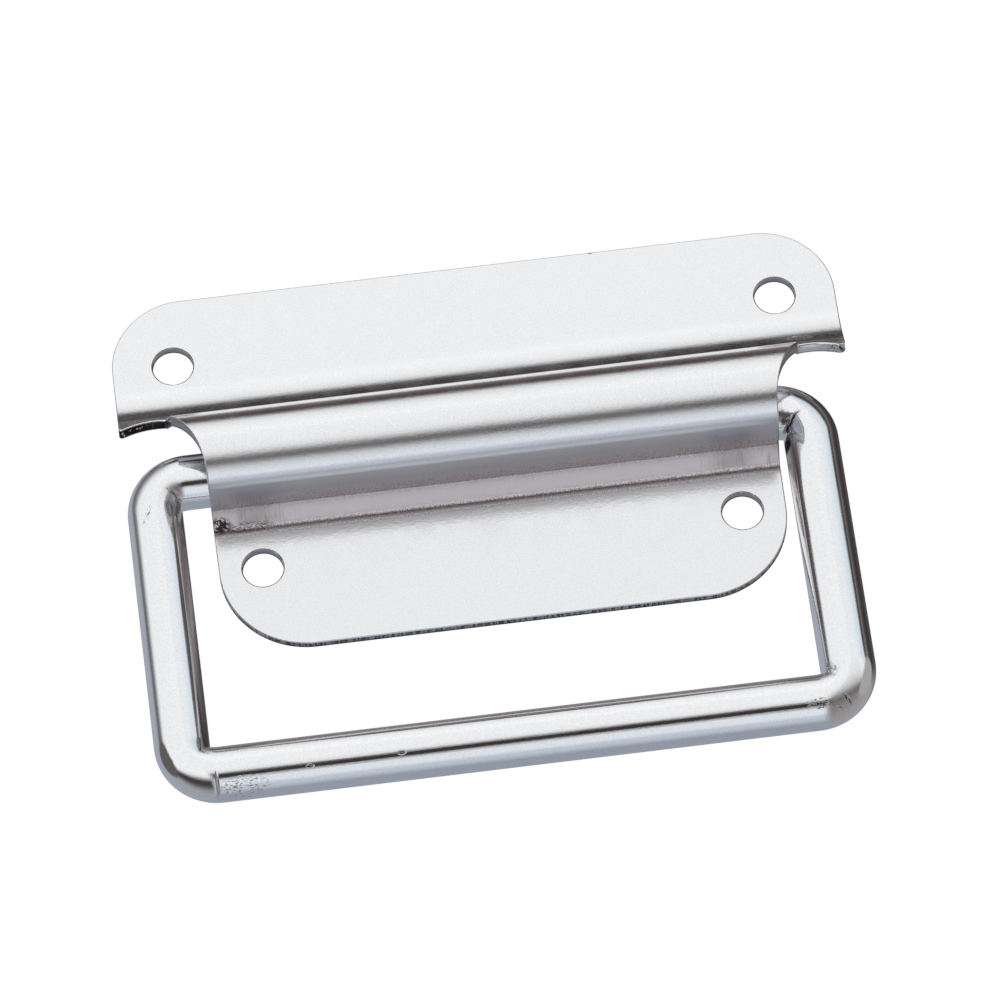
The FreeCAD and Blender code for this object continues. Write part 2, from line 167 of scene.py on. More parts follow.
# Roughness from smooth to dull; scales of the fine and coarse grain and of the stains; depth of the grain
finishes = {
    "sheet": {
        "colour": (0.945, 0.955, 0.965), "rough": (0.11, 0.20),
        "grain": (5200, 1900), "mottle": 260, "grainDepth": (0.55, 0.30),
    },
    "edge": {
        "colour": (0.50, 0.48, 0.475), "rough": (0.25, 0.45),
        "grain": (6000, 2200), "mottle": 900, "grainDepth": (0.8, 0.6),
    },
    "rod": {
        "colour": (0.95, 0.96, 0.97), "rough": (0.05, 0.11),
        "grain": (3800, 900), "mottle": 160, "grainDepth": (0.22, 0.16),
    },
}
bumpDepths = {"fine": 0.00002, "coarse": 0.00004, "marks": 0.00007}

# Painted shade against the distance from the wall, on the hump's underside
ledgePaintedShade = (
    (4.0, 1.0), (4.95, 1.0), (5.15, (0.56, 0.49, 0.49)), (5.6, (0.76, 0.67, 0.65)), (6.2, (0.83, 0.73, 0.73)),
    (7.2, (0.81, 0.74, 0.75)), (8.2, (0.78, 0.73, 0.75)), (10.2, (0.86, 0.83, 0.85)), (11.4, (0.93, 0.92, 0.94)),
    (12.6, 1.0), (14.0, 1.0),
)
# Painted shade against the level: dark lines with a pinkish painted reflection band at the step under the hump, the
# lower flange a little darker, and painted shade in the folds above it
stepPaintedShade = (
    (-31.0, (0.955, 0.96, 0.965)), (-29.5, 1.0), (-28.5, 1.0), (-28.3, (0.76, 0.75, 0.78)),
    (-28.0, (0.40, 0.37, 0.38)), (-27.7, (0.23, 0.19, 0.19)), (-27.45, (0.52, 0.46, 0.46)),
    (-27.2, (0.94, 0.85, 0.83)), (-26.9, (1.0, 0.90, 0.89)), (-26.4, (1.0, 0.91, 0.89)),
    (-25.95, (0.92, 0.83, 0.82)), (-25.69, (0.58, 0.50, 0.50)), (-25.6, 1.0), (-25.0, 1.0),
)
foldPaintedShade = (
    (-14.0, 1.0), (-13.6, 1.0), (-13.1, 0.76), (-12.6, 0.66), (-12.3, 0.66), (-12.1, 1.0), (-9.1, 1.0),
    (-8.9, 0.50), (-8.2, 0.56), (-7.4, 0.78), (-6.6, 1.0), (-6.0, 1.0),
)

# Borders in mm, each from where a band is none to where it is full
bands = {
    "underside": ((-23.4, -24.2),),
    "dullStep": ((-23.9, -25.0), (-29.0, -28.0)),
    "dullCrown": ((-17.5, -19.0), (-25.2, -23.4)),
    "pressMarks": ((-28.0, -27.2), (-25.2, -25.7)),
    "farOut": ((25, 34),),
    "ears": ((-13, -12), (-7.5, -8.5)),
    "leftEar": ((-44.9, -45.6),),
    "rightEar": ((44.9, 45.6),),
    "bottomEdge": ((-34, -44),),
    "legs": ((40, 43),),
}

# Wear, and the settings of painted light: how far the step's painted shade bands wander, and the ears' painted cut
# faces
wearAndPaintedLight = {
    "stepWander": 1.6,  # mm that the step's bands wander
    "dullness": (("dullStep", 0.32), ("dullCrown", 0.24)),
    "press": {"stretch": (3300, 200, 160), "shade": (0.40, 0.34, 0.34), "share": 0.38, "height": 0.12},
    # painted shade with painted white glints on the left ear's cut face, painted light on the right ear's
    "shadedEarFace": {"glints": 1900, "shade": (0.035, 0.03, 0.03), "glintShade": (0.95, 0.93, 0.92)},
    "litEarFace": (0.90, 0.89, 0.91),
    "teeth": {"stretch": (3600, 500, 500), "shade": (0.10, 0.08, 0.08), "toothShade": (0.55, 0.52, 0.53)},
    "dieLines": {"alongX": (70, 2600, 2600), "alongZ": (2600, 2600, 70), "height": 0.10},
    "markRough": 0.4,
}

# Each mark: x, distance from the wall and level; reach each way; turn in degrees; grain; threshold; shade
earMarks = (
    ((50.7, 3.6, -11.3), (1.6, 2.2, 1.3), 0, 2.4, 0.5, (0.05, 0.04, 0.04)),
    ((44.3, 4.2, -10.5), (1.1, 2.2, 1.2), 0, 1.5, 0.42, (0.03, 0.025, 0.025)),
)
sheetMarks = (
    ((-39.4, 2.3, -26.9), (2.0, 3.0, 1.2), 0, 4.5, 0.47, (0.07, 0.05, 0.05)),
    ((-35.4, 2.3, -27.3), (4.6, 3.0, 0.7), 0, 9, 0.53, (0.12, 0.08, 0.07)),
    ((18.1, 0.9, 10.45), (0.5, 1.2, 0.35), 0, 1.2, 0.3, (0.05, 0.04, 0.04)),
    *earMarks,
    ((45.8, 2.7, -8.1), (2.2, 1.4, 0.5), 0, 5, 0.5, (0.5, 0.46, 0.45)),
)
# Marks of the rod, among them painted reflections and painted shade
rodMarksAndPaintedLight = (
    # creases and gouges of the bends
    ((42.6, 6.8, -23.2), (2.2, 2.4, 0.55), -42, 1.7, 0.44, (0.10, 0.08, 0.08)),
    ((41.3, 5.2, -26.3), (1.0, 3.0, 1.3), 0, 0.8, 0.34, (0.05, 0.04, 0.04)),
    ((-45.2, 6.8, -23.2), (2.0, 2.4, 0.4), 40, 2.2, 0.48, (0.30, 0.26, 0.26)),
    ((-49.4, 7.4, -26.4), (0.35, 1.5, 2.2), 25, 3.2, 0.55, (0.50, 0.46, 0.45)),
    ((42.6, 6.4, -62.9), (1.2, 2.4, 1.5), 40, 3.6, 0.52, (0.28, 0.24, 0.23)),
    ((43.0, 7.7, -68.5), (0.8, 1.6, 0.6), 20, 1.6, 0.45, (0.10, 0.08, 0.08)),
    ((44.2, 7.4, -67.5), (1.2, 1.6, 0.45), 55, 1.2, 0.42, (0.16, 0.13, 0.13)),
    ((39.9, 7.7, -67.7), (1.8, 1.5, 0.8), 0, 3.4, 0.52, (0.35, 0.32, 0.32)),
    # end of the bending die, the rubbed face beside it, and two nicks
    ((-44.0, 6.4, -68.6), (0.3, 3.0, 2.3), 0, 1.0, 0.1, (0.62, 0.62, 0.64)),
    ((-40.4, 6.2, -69.3), (4.2, 3.0, 1.5), 0, 8, 0.54, (0.42, 0.38, 0.37)),
    ((-31.0, 7.6, -67.9), (0.7, 1.2, 0.35), 0, 2.2, 0.42, (0.06, 0.05, 0.05)),
    ((-18.2, 7.6, -67.6), (0.7, 1.2, 0.35), 0, 2.2, 0.42, (0.06, 0.05, 0.05)),
    # painted reflections: dark stripes along the inner sides of the legs, a grey-brown band beside the left one, and a
    # grey stripe along the top of the grip
    ((-45.8, 6.9, -44), (0.36, 2.0, 24), 0, 1.6, 0.22, (0.22, 0.19, 0.19)),
    ((-45.0, 5.6, -44), (0.8, 2.2, 24), 0, 1.6, 0.15, (0.62, 0.54, 0.54)),
    ((42.2, 6.5, -44), (0.36, 2.0, 24), 0, 1.6, 0.22, (0.25, 0.22, 0.22)),
    ((-1.6, 7.1, -63.95), (43, 1.8, 0.36), 0, 1.6, 0.2, (0.40, 0.36, 0.37)),
    # painted shade on top of the bar where it enters under the hump
    ((-41.6, 6.0, -17.0), (5.0, 2.6, 1.3), 0, 1.2, 0.1, (0.10, 0.075, 0.07)),
)


# Painted shade under the hump, at its step and in its folds, dull bands, and press marks
def paintShadeAndPressMarks(tree, place, axes, colour, rough, fine):
    across, inward, level = axes
    out = addMath(tree, "MULTIPLY", inward, -1)
    # painted shade under the hump, by the distance from the wall
    ledge = addMix(tree, 1.0, colour, addScale(tree, out, ledgePaintedShade), "MULTIPLY")
    colour = addMix(tree, addBand(tree, level, "underside"), colour, ledge)
    # painted shade and a pinkish painted reflection at the step, their borders wandering a little, then painted shade
    # in the folds
    wander = addMath(tree, "MULTIPLY", addMath(tree, "SUBTRACT", fine, 0.5), wearAndPaintedLight["stepWander"] * mm)
    foot = addScale(tree, addMath(tree, "ADD", level, wander), stepPaintedShade)
    colour = addMix(tree, 1.0, colour, foot, "MULTIPLY")
    colour = addMix(tree, 1.0, colour, addScale(tree, level, foldPaintedShade), "MULTIPLY")
    for band, least in wearAndPaintedLight["dullness"]:
        dull = addMath(tree, "MULTIPLY", addBand(tree, level, band), least)
        rough = addMath(tree, "MAXIMUM", rough, dull)

    # upright press marks near both ends of the step
    press = wearAndPaintedLight["press"]
    ticks = addSpan(tree, addNoise(tree, place, 1, 2, press["stretch"]), 0.56, 0.66)
    farOut = addBand(tree, addMath(tree, "ABSOLUTE", across, 0), "farOut")
    ends = addMath(tree, "MULTIPLY", farOut, addBand(tree, level, "pressMarks"))
    ticks = addMath(tree, "MULTIPLY", ticks, ends)
    colour = addMix(tree, addMath(tree, "MULTIPLY", ticks, press["share"]), colour, press["shade"])
    return colour, rough, addMath(tree, "MULTIPLY", ticks, press["height"])


# Painted shade with painted glints on the left ear's cut face, painted light on the right ear's, and a toothed bottom
# edge
def paintEarsAndWearEdge(tree, place, axes, colour, rough, fine):
    across, inward, level = axes
    shadedEarFace, teeth = wearAndPaintedLight["shadedEarFace"], wearAndPaintedLight["teeth"]
    glints = addSpan(tree, addNoise(tree, place, shadedEarFace["glints"], 2), 0.60, 0.66)
    darkEar = addMix(tree, glints, shadedEarFace["shade"], shadedEarFace["glintShade"])
    # the left ear painted as shaded, the right ear painted as lit
    for ear, shade in (("leftEar", darkEar), ("rightEar", wearAndPaintedLight["litEarFace"])):
        share = addMath(tree, "MULTIPLY", addBand(tree, across, ear), addBand(tree, level, "ears"))
        colour = addMix(tree, share, colour, shade)
    tooth = addSpan(tree, addNoise(tree, place, 1, 3, teeth["stretch"]), 0.42, 0.60)
    toothed = addMix(tree, tooth, teeth["shade"], teeth["toothShade"])
    colour = addMix(tree, addBand(tree, level, "bottomEdge"), colour, toothed)
    return colour, rough, None


def drawDieLines(tree, place, axes, colour, rough, fine):
    lines = wearAndPaintedLight["dieLines"]
    alongX, alongZ = (addNoise(tree, place, 1, 3, lines[way]) for way in ("alongX", "alongZ"))
    fromMiddle = addMath(tree, "ADD", axes[0], -bailSizes["centre"] * mm)
    leg = addBand(tree, addMath(tree, "ABSOLUTE", fromMiddle, 0), "legs")
    return colour, rough, addMath(tree, "MULTIPLY", addMix(tree, leg, alongX, alongZ), lines["height"])


def makeSteel(name, finish, marks, addWearAndShade):
    steel = bpy.data.materials.new(name)
    steel.use_nodes = True
    tree = steel.node_tree
    shader = tree.nodes["Principled BSDF"]
    shader.inputs["Metallic"].default_value = 1
    place = addNode(tree, "ShaderNodeTexCoord").outputs["Object"]
    axes = addNode(tree, "ShaderNodeSeparateXYZ")
    tree.links.new(place, axes.inputs[0])

    mottle = addNoise(tree, place, finish["mottle"], 5)
    fine, coarse = (addNoise(tree, place, scale) for scale in finish["grain"])
    smooth, dull = finish["rough"]
    rough = addRamp(tree, mottle, ((0.35, smooth), (0.7, dull)))
    r, g, b = finish["colour"]
    colour = addRamp(tree, fine, ((0.3, (r * 0.89, g * 0.89, b * 0.90)), (0.62, (r, g, b))))
    # wear, with painted shade on the sheet and painted light and shade on the ears' cut faces
    colour, rough, height = addWearAndShade(tree, place, axes.outputs, colour, rough, fine)

    # the marks, on the rod among them painted reflections and painted shade
    for *patch, shade in marks:
        mask = addMark(tree, place, *patch)
        colour = addMix(tree, mask, colour, shade)
        rough = addMath(tree, "MAXIMUM", rough, addMath(tree, "MULTIPLY", mask, wearAndPaintedLight["markRough"]))
        height = addMath(tree, "SUBTRACT", height, mask) if height else addMath(tree, "MULTIPLY", mask, -1)

    tree.links.new(colour, shader.inputs["Base Color"])
    tree.links.new(rough, shader.inputs["Roughness"])
    below = None
    fineDepth, coarseDepth = finish["grainDepth"]
    for source, strength, depth in ((fine, fineDepth, "fine"), (coarse, coarseDepth, "coarse"), (height, 1.0, "marks")):
        bump = addNode(tree, "ShaderNodeBump", Strength=strength, Distance=bumpDepths[depth])
        tree.links.new(source, bump.inputs["Height"])
        if below:
            tree.links.new(below, bump.inputs["Normal"])
        below = bump.outputs["Normal"]
    tree.links.new(below, shader.inputs["Normal"])
    return steel


sheetSteel = makeSteel("platedSheet", finishes["sheet"], sheetMarks, paintShadeAndPressMarks)
edgeSteel = makeSteel("shearedEdge", finishes["edge"], earMarks, paintEarsAndWearEdge)
rodSteel = makeSteel("platedRod", finishes["rod"], rodMarksAndPaintedLight, drawDieLines)
print("materials made")


# Shared by both pieces

def smoothStep(low, high, value):
    t = min(1, max(0, (value - low) / (high - low)))
    return t * t * (3 - 2 * t)


def onlyOf(kind, parts):
    return [part for part in parts if isinstance(part, kind)]


def addObject(name, data):
    made = bpy.data.objects.new(name, data)
    bpy.context.scene.collection.objects.link(made)
    return made


def addPiece(name, bm, *steels):
    bmesh.ops.scale(bm, vec=(mm, mm, mm), verts=bm.verts[:])
    for face in bm.faces:
        face.smooth = True
    mesh = bpy.data.meshes.new(name)
    bm.to_mesh(mesh)
    bm.free()
    for steel in steels:
        mesh.materials.append(steel)
    return addObject(name, mesh)


# Plate: a flat blank cut to its outline, its rim rounded, then folded over the hump

# Bends of the hump's front face from the top down: middle out of the wall, its level, radius, first and last angle
humpBends = {
    "root": (10.7, -3.05, 9.2, 180, 210.2),
    "cove": (5.181, -7.882, 2.0, 210.2, 244.3),
    "brow": (6.637, -19.68, 8.0, 64.3, 12.7),
    "crown": (8.1, -19.35, 6.5, 12.7, -47.2),
    "chin": (9.935, -21.331, 3.8, -47.2, -84),
    "toe": (2.9, -28.231, 1.4, 115, 180),
}
crease = (5.1, -25.66)  # between chin and toe: out and level

# Distances between the cuts that let the blank fold: beside a bend's end, over the flanges, around the ears
cutGaps = {"beside": 0.1, "flangeRows": 1.6, "earRows": 0.25, "columns": 2, "earColumns": 0.3}
earRowsTop, earColumnsStart = -9.0, 43.6

# Rounding of the rim in two steps: how far inward, and the depth left, as shares of the radius
rimSteps = ((0.29, 0.29), (0.71, 0))


def traceSection(sizes):
    corners = [(sizes["thickness"], sizes["top"], 0)]
    for name, (out, level, radius, first, last) in humpBends.items():
        hollow = 180 if first >= 180 or name == "toe" else 0  # bends with their middle in front of the sheet
        if name == "toe":
            corners += [(*crease, corners[-1][2]), (*crease, first - hollow)]
        count = round(abs(last - first) / (2 if radius > 5 else 4))
        for step in range(count + 1):
            angle = first + (last - first) * step / count
            turn = math.radians(angle)
            corners.append((out + radius * math.cos(turn), level + radius * math.sin(turn), angle - hollow))
    corners.append((sizes["thickness"], sizes["bottom"], 0))
    return corners


section = traceSection(plateSizes)  # out, level and the way the front face looks, in degrees above level


# Out, look angle and stretch of the depth; the stretch keeps the sheet's thickness at the crease
def humpFront(z):
    if abs(z - crease[1]) < 0.002:
        looks = [angle for out, level, angle in section if (out, level) == crease]
        return crease[0], sum(looks) / 2, 1 / math.cos(math.radians(looks[1] - looks[0]) / 2)
    for (outHigh, high, angleHigh), (outLow, low, angleLow) in zip(section, section[1:]):
        if low <= z <= high and low < high:
            part = (high - z) / (high - low)
            return outHigh + (outLow - outHigh) * part, angleHigh + (angleLow - angleHigh) * part, 1
    return plateSizes["thickness"], 0, 1


def brimStart(sizes):
    out, level, radius, first, last = humpBends["root"]
    lean = math.radians(sizes["brimAngle"])
    return out - radius * math.cos(lean), level - radius * math.sin(lean)


def earFront(z, sizes):
    out, level = brimStart(sizes)
    if z >= level:
        return humpFront(z)
    return out + (level - z) * math.tan(math.radians(sizes["brimAngle"])), sizes["brimAngle"], 1


def foldPoint(x, depth, z, sizes):
    start, reach = sizes["earBlend"]
    share = smoothStep(0, reach, abs(x) - sizes["shoulder"] + z - start) if z > sizes["shoulderLow"] else 0
    out, angle, stretch = [
        hump * (1 - share) + ear * share for hump, ear in zip(humpFront(z), earFront(z, sizes))
    ]
    turn = math.radians(angle)
    return -out + depth * stretch * math.cos(turn), z - depth * stretch * math.sin(turn)


def foldLines():
    levels = [z for out, z, angle in section[1:-1]]
    first, last, beside, row = levels[0], levels[-1], cutGaps["beside"], cutGaps["flangeRows"]
    levels += [crease[1] + beside, crease[1] - beside, first + beside, last - beside]
    levels += [first + row * i for i in range(1, 10)] + [last - row * i for i in range(1, 11)]
    levels += [earRowsTop - cutGaps["earRows"] * i for i in range(14)]
    return sorted(set(round(z, 3) for z in levels))


def drawLine(bm, pen, x, z):
    pen = bmesh.ops.extrude_vert_indiv(bm, verts=[pen])["verts"][0]
    pen.co = (x, 0, z)
    return pen


def drawArc(bm, pen, x, z, degrees, steps):
    made = bmesh.ops.spin(bm, geom=[pen], cent=(x, 0, z), axis=(0, 1, 0), angle=math.radians(degrees), steps=steps)
    return onlyOf(bmesh.types.BMVert, made["geom_last"])[0]


def drawHalfOutline(bm, side, s):
    pen = bm.verts.new((0, 0, s["top"]))
    corner = s["halfWidth"] - s["topCorner"]
    pen = drawLine(bm, pen, side * corner, s["top"])
    pen = drawArc(bm, pen, side * corner, s["top"] - s["topCorner"], side * 90, 30)

    # The ear's edge is drawn in the curled sheet, then shortened as it is seen from the front
    before = set(bm.verts)
    curl = brimStart(s)[1]
    slope = math.radians(s["tipSlope"])
    hollow, bend = s["notchHollow"], s["notchCorner"]
    hollowX, hollowZ = s["shoulder"] + s["notchInset"], curl - s["notchDrop"] - hollow
    lean = math.asin((s["notchInset"] - bend) / (hollow - bend))
    endX, endZ = hollowX + hollow * math.sin(slope), hollowZ + hollow * math.cos(slope)
    nose = s["tipRadius"][side]
    noseStart = endZ - (s["halfWidth"] - endX) * math.tan(slope) + nose * math.tan((math.pi / 2 + slope) / 2)
    pen = drawLine(bm, pen, side * s["halfWidth"], noseStart)
    pen = drawArc(bm, pen, side * (s["halfWidth"] - nose), noseStart, side * (90 + s["tipSlope"]), 10)
    pen = drawLine(bm, pen, side * endX, endZ)
    pen = drawArc(bm, pen, side * hollowX, hollowZ, -side * (s["tipSlope"] + math.degrees(lean)), 20)
    cornerZ = hollowZ + (hollow - bend) * math.cos(lean)
    pen = drawArc(bm, pen, side * (s["shoulder"] + bend), cornerZ, -side * (90 - math.degrees(lean)), 10)
    ear = [v for v in bm.verts if v not in before and v.co.z < curl]
    shorter = (1, 1, math.cos(math.radians(s["brimAngle"])))
    bmesh.ops.scale(bm, vec=shorter, space=Matrix.Translation((0, 0, -curl)), verts=ear)

    pen = drawLine(bm, pen, side * s["shoulder"], s["shoulderLow"])
    flareX, flareZ = s["flareCentre"]
    pen = drawArc(bm, pen, side * flareX, flareZ, -side * s["flareSweep"], 24)
    cornerLevel = s["bottom"] + s["bottomCorner"]
    low = abs(pen.co.x) - (pen.co.z - cornerLevel) * math.tan(math.radians(s["taper"]))
    pen = drawLine(bm, pen, side * low, cornerLevel)
    pen = drawArc(bm, pen, side * (low - s["bottomCorner"]), cornerLevel, side * 90, 30)
    drawLine(bm, pen, 0, s["bottom"])


def cutFace(s):
    bm = bmesh.new()
    for side in (1, -1):
        drawHalfOutline(bm, side, s)
        for x, z in s["holes"]:
            upright = Matrix.Translation((side * x, 0, z)) @ Matrix.Rotation(math.pi / 2, 4, "X")
            bmesh.ops.create_circle(bm, segments=56, radius=s["holeRadius"], matrix=upright)
    bmesh.ops.remove_doubles(bm, verts=bm.verts[:], dist=0.001)
    bmesh.ops.triangle_fill(bm, edges=bm.edges[:], use_beauty=True, normal=(0, -1, 0))
    return bm


# From the front face to the whole blank; until the fold, y is the depth below the front face
def thickenFace(bm, s):
    front = bm.faces[:]
    bmesh.ops.translate(bm, vec=(0, s["edgeRound"], 0), verts=bm.verts[:])
    rim = [e for e in bm.edges if e.is_boundary]
    for inward, left in rimSteps:
        step = inward * s["edgeRound"]
        bmesh.ops.inset_region(bm, faces=front, thickness=step, use_boundary=True, use_even_offset=True)
        for v in {v for face in front for v in face.verts}:
            v.co.y = left * s["edgeRound"]
    wall = bmesh.ops.extrude_edge_only(bm, edges=rim)["geom"]
    for v in onlyOf(bmesh.types.BMVert, wall):
        v.co.y = s["thickness"] / 2
    for face in onlyOf(bmesh.types.BMFace, wall):
        face.material_index = 1
    middle = Matrix.Translation((0, -s["thickness"] / 2, 0))
    everything = bm.verts[:] + bm.edges[:] + bm.faces[:]
    bmesh.ops.mirror(bm, geom=everything, matrix=middle, merge_dist=0.001, axis="Y")


def cutThrough(bm, place, way):
    everything = bm.verts[:] + bm.edges[:] + bm.faces[:]
    bmesh.ops.bisect_plane(bm, geom=everything, dist=0.0005, plane_co=place, plane_no=way)


# The two broad faces keep the slope of the fold itself, so that the narrow rim doesn't tilt their shading
def foldSlope(x, depth, z, s):
    if min(depth, s["thickness"] - depth) >= 0.001:
        return Vector()
    h = 0.02
    along = Vector((2 * h, *foldPoint(x + h, depth, z, s))) - Vector((0, *foldPoint(x - h, depth, z, s)))
    down = Vector((0, *foldPoint(x, depth, z + h, s))) - Vector((0, *foldPoint(x, depth, z - h, s)))
    slope = along.cross(down).normalized()
    return -slope if depth > s["thickness"] / 2 else slope


def makePlate(s):
    bm = cutFace(s)
    thickenFace(bm, s)
    for z in foldLines():
        cutThrough(bm, (0, 0, z), (0, 0, 1))
    nearEars = [side * (earColumnsStart + cutGaps["earColumns"] * i) for side in (1, -1) for i in range(9)]
    for x in list(range(-50, 51, cutGaps["columns"])) + nearEars:
        cutThrough(bm, (x, 0, 0), (1, 0, 0))

    slopes = [foldSlope(*v.co, s) for v in bm.verts]
    for v in bm.verts:
        v.co.y, v.co.z = foldPoint(*v.co, s)
    bmesh.ops.recalc_face_normals(bm, faces=bm.faces[:])
    plate = addPiece("pressedPlate", bm, sheetSteel, edgeSteel)
    plate.data.normals_split_custom_set_from_vertices(slopes)
    return plate


plate = makePlate(plateSizes)
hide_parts("mounting_plate")
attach(plate, "plate")
print("plate folded")


# Bail: one rod bent round, its two ends meeting inside the hump

def runStraight(bm, loop, move, step):
    count = max(1, round(move.length / step))
    for _ in range(count):
        made = bmesh.ops.extrude_edge_only(bm, edges=loop)["geom"]
        verts = onlyOf(bmesh.types.BMVert, made)
        loop = [e for e in onlyOf(bmesh.types.BMEdge, made) if all(v in verts for v in e.verts)]
        bmesh.ops.translate(bm, vec=move / count, verts=verts)
    return loop


def runBend(bm, loop, x, z, s):
    middle = (x, s["depth"], z)
    made = bmesh.ops.spin(bm, geom=loop, cent=middle, axis=(0, 1, 0), angle=math.pi / 2, steps=s["bendSteps"])
    return onlyOf(bmesh.types.BMEdge, made["geom_last"])


def pinchBend(bm, x, z, sideways, upward, s):
    inner = s["bend"] - s["rodRadius"]
    for v in bm.verts:
        dx, dz = (v.co.x - x) * sideways, (v.co.z - z) * upward
        if dx > 0.001 and dz > 0.001:
            reach = math.hypot(dx, dz)
            square = inner * (reach / max(dx, dz) - 1) * (1 - smoothStep(inner, s["bend"], reach)) * s["pinch"]
            v.co.x += sideways * dx / reach * square
            v.co.z += upward * dz / reach * square


def roundEnds(bm, s):
    ends = [f for f in bm.faces if len(f.verts) > 4]
    rims = [e for f in ends for e in f.edges]
    bmesh.ops.bevel(
        bm, geom=rims, offset=s["endRound"], offset_type="OFFSET", segments=3, profile=0.5, affect="EDGES", material=-1,
    )


def makeBail(s):
    bm = bmesh.new()
    middle, bend, step = s["centre"], s["bend"], s["step"]
    right, left = middle + s["halfWidth"] - bend, middle - s["halfWidth"] + bend
    high, low = s["top"] - bend, s["grip"] + bend
    half = s["halfWidth"] - bend
    toSeam = Vector((half - s["seam"] / 2, 0, 0))
    across = Vector((2 * half, 0, 0))
    down = Vector((0, 0, low - high))
    start = Matrix.Translation((middle + s["seam"] / 2, s["depth"], s["top"])) @ Matrix.Rotation(math.pi / 2, 4, "Y")
    bmesh.ops.create_circle(bm, segments=s["ring"], radius=s["rodRadius"], matrix=start)
    loop = runStraight(bm, bm.edges[:], toSeam, step)
    loop = runBend(bm, loop, right, high, s)
    loop = runStraight(bm, loop, down, step)
    loop = runBend(bm, loop, right, low, s)
    loop = runStraight(bm, loop, -across, step)
    loop = runBend(bm, loop, left, low, s)
    loop = runStraight(bm, loop, -down, step)
    loop = runBend(bm, loop, left, high, s)
    runStraight(bm, loop, toSeam, step)
    bmesh.ops.holes_fill(bm, edges=[e for e in bm.edges if e.is_boundary], sides=0)
    bmesh.ops.recalc_face_normals(bm, faces=bm.faces[:])
    for x, sideways in ((right, 1), (left, -1)):
        for z, upward in ((high, 1), (low, -1)):
            pinchBend(bm, x, z, sideways, upward, s)
    roundEnds(bm, s)
    return addPiece("bentBail", bm, rodSteel)


bail = makeBail(bailSizes)
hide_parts("handle_bail")
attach(bail, "bail")
print("bail bent")


# Studio: striped surroundings that only reflections see, plain white for all other light, and a pale floor

# Colours of the surroundings against the angle about the X axis: 0 in front, 90 overhead, -90 below
middleRing = (
    (-180, (0.31, 0.34, 0.40)), (-118, (0.31, 0.34, 0.40)), (-96, (0.51, 0.57, 0.63)), (-83, (0.57, 0.60, 0.69)),
    (-71, (0.78, 0.82, 0.86)), (-50, (0.76, 0.80, 0.84)), (-42, 0.43), (-37, (0.045, 0.036, 0.035)),
    (-25, (0.045, 0.036, 0.035)), (-20, 0.30), (-14, 0.78), (-3, 0.91), (30, 0.93), (42, 0.99), (62, 0.92),
    (77, 0.74), (87, (0.045, 0.03, 0.03)), (97, (0.085, 0.06, 0.06)), (106, (0.15, 0.115, 0.115)),
    (120, (0.24, 0.21, 0.21)), (150, (0.31, 0.29, 0.30)), (180, (0.31, 0.34, 0.40)),
)
leftRing = (
    (-180, (0.36, 0.38, 0.44)), (-112, (0.34, 0.36, 0.39)), (-95, 0.27), (-82, 0.13), (-68, (0.06, 0.045, 0.045)),
    (-54, (0.07, 0.055, 0.055)), (-44, 0.34), (-34, 0.82), (-22, 0.94), (56, 0.90), (71, 0.66), (84, 0.34),
    (98, (0.18, 0.17, 0.18)), (112, (0.15, 0.145, 0.155)), (121, (0.30, 0.31, 0.36)), (133, (0.38, 0.40, 0.46)),
    (180, (0.36, 0.38, 0.44)),
)
rightRing = (
    (-180, (0.36, 0.36, 0.38)), (-110, (0.31, 0.30, 0.31)), (-60, (0.24, 0.22, 0.22)), (-32, (0.17, 0.145, 0.14)),
    (-18, 0.27), (0, 0.60), (16, 0.82), (30, (0.88, 0.90, 0.92)), (38, (0.79, 0.83, 0.87)),
    (46, (0.70, 0.77, 0.82)), (56, (0.66, 0.74, 0.78)), (63, (0.30, 0.32, 0.34)), (69, (0.05, 0.045, 0.045)),
    (78, (0.06, 0.05, 0.05)), (90, (0.17, 0.16, 0.17)), (104, (0.09, 0.08, 0.08)), (116, (0.055, 0.045, 0.042)),
    (133, (0.04, 0.034, 0.034)), (150, (0.08, 0.072, 0.072)), (180, (0.36, 0.36, 0.38)),
)

studioSizes = {
    # where the side parts of the surroundings begin and are full, as the X part of the direction
    "leftPart": (-0.12, -0.27), "rightPart": (0.12, 0.36), "leftEnd": (-0.885, -0.93), "rightEnd": (0.895, 0.94),
    "leftEndShade": (0.12, 0.105, 0.105), "rightEndShade": (0.40, 0.39, 0.39),
    "floorSize": 12, "floorLevel": -0.62, "floorShade": (0.9, 0.9, 0.9, 1), "floorRough": 0.8,
    "lampSize": (0.9, 0.6), "lampPower": 3, "lampPlace": (-0.35, -0.9, 0.75), "lampTurn": (50, 0, -20),
}


def addRing(tree, turn, stops):
    return addRamp(tree, turn, [((angle + 180) / 360, shade) for angle, shade in stops])


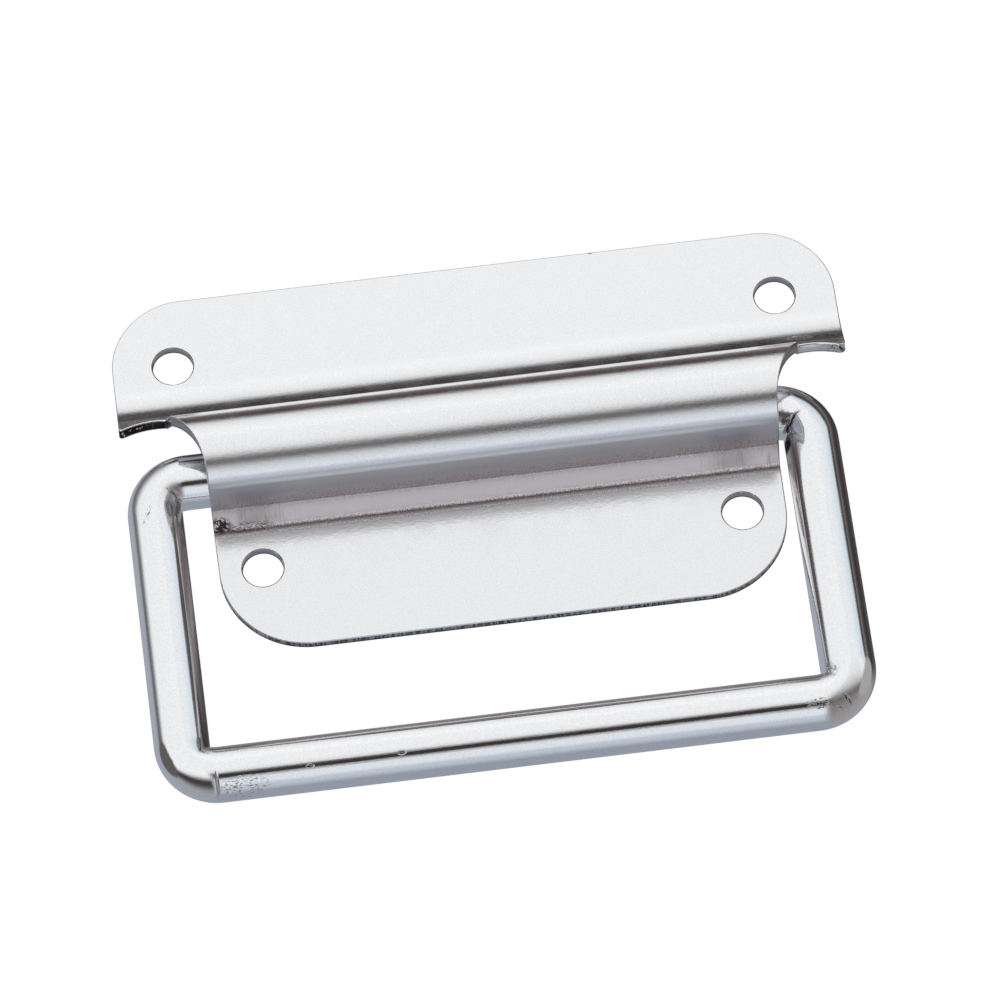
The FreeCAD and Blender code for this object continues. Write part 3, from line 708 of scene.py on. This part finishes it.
def makeWorld(s):
    world = bpy.data.worlds.new("studio")
    bpy.context.scene.world = world
    world.use_nodes = True
    tree = world.node_tree
    tree.nodes.clear()
    parts = addNode(tree, "ShaderNodeSeparateXYZ")
    tree.links.new(addNode(tree, "ShaderNodeTexCoord").outputs["Generated"], parts.inputs[0])
    aside, inward, upward = parts.outputs
    angle = addMath(tree, "ARCTAN2", upward, addMath(tree, "MULTIPLY", inward, -1))
    turn = addNode(tree, "ShaderNodeMapRange", From_Min=-math.pi, From_Max=math.pi)
    tree.links.new(angle, turn.inputs["Value"])
    middle, left, right = (addRing(tree, turn.outputs[0], stops) for stops in (middleRing, leftRing, rightRing))
    picture = addMix(tree, addSpan(tree, aside, *s["leftPart"]), middle, left)
    picture = addMix(tree, addSpan(tree, aside, *s["rightPart"]), picture, right)
    picture = addMix(tree, addSpan(tree, aside, *s["leftEnd"]), picture, s["leftEndShade"])
    picture = addMix(tree, addSpan(tree, aside, *s["rightEnd"]), picture, s["rightEndShade"])

    studio = addNode(tree, "ShaderNodeBackground", Strength=1.0)
    tree.links.new(picture, studio.inputs["Color"])
    white = addNode(tree, "ShaderNodeBackground", Color=(1, 1, 1, 1), Strength=1.0)
    ray = addNode(tree, "ShaderNodeLightPath")
    choose = addNode(tree, "ShaderNodeMixShader")
    tree.links.new(ray.outputs["Is Glossy Ray"], choose.inputs[0])
    tree.links.new(white.outputs["Background"], choose.inputs[1])
    tree.links.new(studio.outputs["Background"], choose.inputs[2])
    out = addNode(tree, "ShaderNodeOutputWorld")
    tree.links.new(choose.outputs["Shader"], out.inputs["Surface"])


def makeFloor(s):
    bm = bmesh.new()
    bmesh.ops.create_grid(bm, x_segments=1, y_segments=1, size=s["floorSize"])
    mesh = bpy.data.meshes.new("paleFloor")
    bm.to_mesh(mesh)
    bm.free()
    floor = addObject("paleFloor", mesh)
    floor.location = (0, 0, s["floorLevel"])
    floor.visible_glossy = False
    pale = bpy.data.materials.new("paleFloor")
    pale.use_nodes = True
    shader = pale.node_tree.nodes["Principled BSDF"]
    shader.inputs["Base Color"].default_value = s["floorShade"]
    shader.inputs["Roughness"].default_value = s["floorRough"]
    mesh.materials.append(pale)


def makeSoftBox(s):
    data = bpy.data.lights.new("softBox", "AREA")
    data.shape = "RECTANGLE"
    data.size, data.size_y = s["lampSize"]
    data.energy = s["lampPower"]
    box = addObject("softBox", data)
    box.location = s["lampPlace"]
    box.rotation_euler = [math.radians(turn) for turn in s["lampTurn"]]
    box.visible_glossy = False


makeWorld(studioSizes)
makeFloor(studioSizes)
makeSoftBox(studioSizes)
print("studio made")


def makeCamera(s):
    data = bpy.data.cameras.new("photoCamera")
    data.lens = s["lens"]
    data.sensor_width = s["sensor"]
    data.clip_start, data.clip_end = s["clip"]
    camera = addObject("photoCamera", data)
    back = Vector(s["place"]) - Vector(s["target"])
    right = Vector((0, 0, 1)).cross(back).normalized()
    up = back.cross(right).normalized()
    turn = Matrix((right, up, back.normalized())).transposed() @ Matrix.Rotation(math.radians(s["roll"]), 3, "Z")
    camera.matrix_world = Matrix.Translation(s["place"]) @ turn.to_4x4()
    bpy.context.scene.camera = camera


makeCamera(cameraSizes)
bpy.context.scene.view_settings.view_transform = "Standard"
